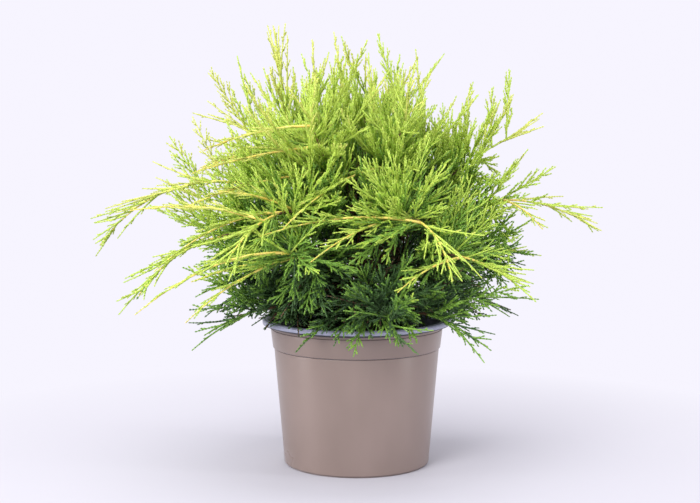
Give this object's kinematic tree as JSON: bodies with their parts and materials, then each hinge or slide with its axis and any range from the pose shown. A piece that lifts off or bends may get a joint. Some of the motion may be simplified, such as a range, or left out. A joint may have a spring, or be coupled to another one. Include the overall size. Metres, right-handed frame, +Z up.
{
  "type": "potted old gold pfitzer juniper",
  "caption": "Young spreading conifer with arching feathery boughs and golden nodding tips, growing in a tapered round nursery pot with a wider band under its lip.",
  "frame": {"origin": "centre of the flat underside of the pot, where it stands", "axes": "+Z up, the plant's front faces -Y, +X to the right seen from the front"},
  "size_m": [0.4484, 0.3632, 0.3866],
  "materials": {
    "pot": "satin moulded plastic, taupe wall under a slate lip",
    "compost": "moist fibrous peat compost",
    "bark": "thin flaking red-brown bark",
    "foliage_shaded": "deep green scale foliage",
    "foliage_green": "mid green scale foliage",
    "foliage_golden": "golden green scale foliage"
  },
  "bodies": {
    "root": {"bough_low_1": "bark", "bough_low_2": "bark", "bough_low_3": "bark", "bough_low_4": "bark", "bough_low_5": "bark", "bough_low_6": "bark", "bough_middle_1": "bark", "bough_middle_2": "bark", "bough_middle_3": "bark", "bough_middle_4": "bark", "bough_middle_5": "bark", "bough_middle_6": "bark", "bough_skirt_1": "bark", "bough_skirt_2": "bark", "bough_skirt_3": "bark", "bough_skirt_4": "bark", "bough_skirt_5": "bark", "bough_skirt_6": "bark", "bough_upper_1": "bark", "bough_upper_2": "bark", "bough_upper_3": "bark", "bough_upper_4": "bark", "bough_upper_5": "bark", "bough_upper_6": "bark", "foliage_leader": "foliage_golden", "foliage_low_1": "foliage_green", "foliage_low_2": "foliage_green", "foliage_low_3": "foliage_green", "foliage_low_4": "foliage_green", "foliage_low_5": "foliage_green", "foliage_low_6": "foliage_green", "foliage_middle_1": "foliage_green", "foliage_middle_2": "foliage_green", "foliage_middle_3": "foliage_green", "foliage_middle_4": "foliage_green", "foliage_middle_5": "foliage_green", "foliage_middle_6": "foliage_green", "foliage_skirt_1": "foliage_shaded", "foliage_skirt_2": "foliage_shaded", "foliage_skirt_3": "foliage_shaded", "foliage_skirt_4": "foliage_shaded", "foliage_skirt_5": "foliage_shaded", "foliage_skirt_6": "foliage_shaded", "foliage_upper_1": "foliage_golden", "foliage_upper_2": "foliage_golden", "foliage_upper_3": "foliage_golden", "foliage_upper_4": "foliage_golden", "foliage_upper_5": "foliage_golden", "foliage_upper_6": "foliage_golden", "pot": "pot", "soil": "compost", "stem": "bark"}
  },
  "joints": []
}
